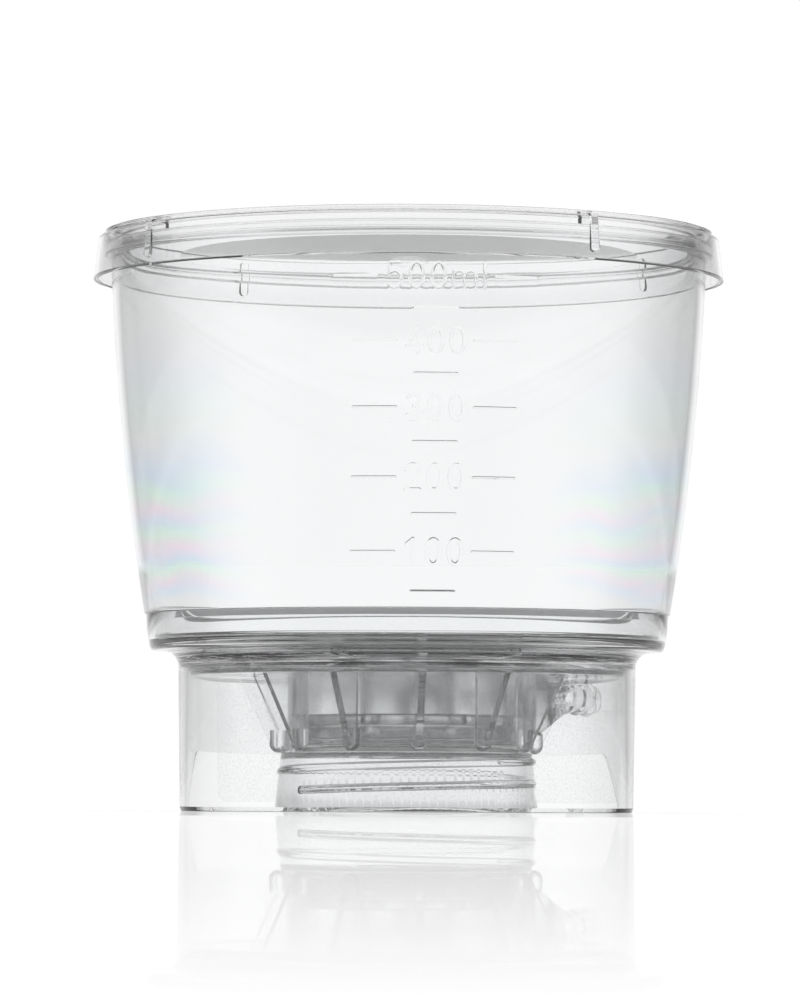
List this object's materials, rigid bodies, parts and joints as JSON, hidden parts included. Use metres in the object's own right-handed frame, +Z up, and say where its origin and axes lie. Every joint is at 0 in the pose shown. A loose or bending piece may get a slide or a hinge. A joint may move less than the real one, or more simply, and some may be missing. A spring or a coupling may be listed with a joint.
{
  "type": "vacuum filtration unit",
  "caption": "Clear bottle-top vacuum filter: graduated cup with a loose lid, flat membrane, skirted base, screw neck, drain spout and side hose barb.",
  "frame": {"origin": "on the axis of the unit at the foot of its skirt", "axes": "+Z up along the axis of cup and neck; -Y is the front, where the graduations and the label are"},
  "size_m": [0.1168, 0.1168, 0.107],
  "materials": {
    "clear_lid": "clear gloss moulding",
    "clear_cup": "clear gloss moulding",
    "clear_base": "clear gloss moulding",
    "clear_insert": "clear gloss moulding",
    "membrane": "white matt filter membrane",
    "silicone": "translucent soft washer",
    "label_film": "clear adhesive film"
  },
  "bodies": {
    "root": {"lid": "clear_lid", "funnel": "clear_cup", "membrane": "membrane", "base": "clear_base", "spout_insert": "clear_insert", "neck_gasket": "silicone", "label_film": "label_film"}
  },
  "joints": []
}
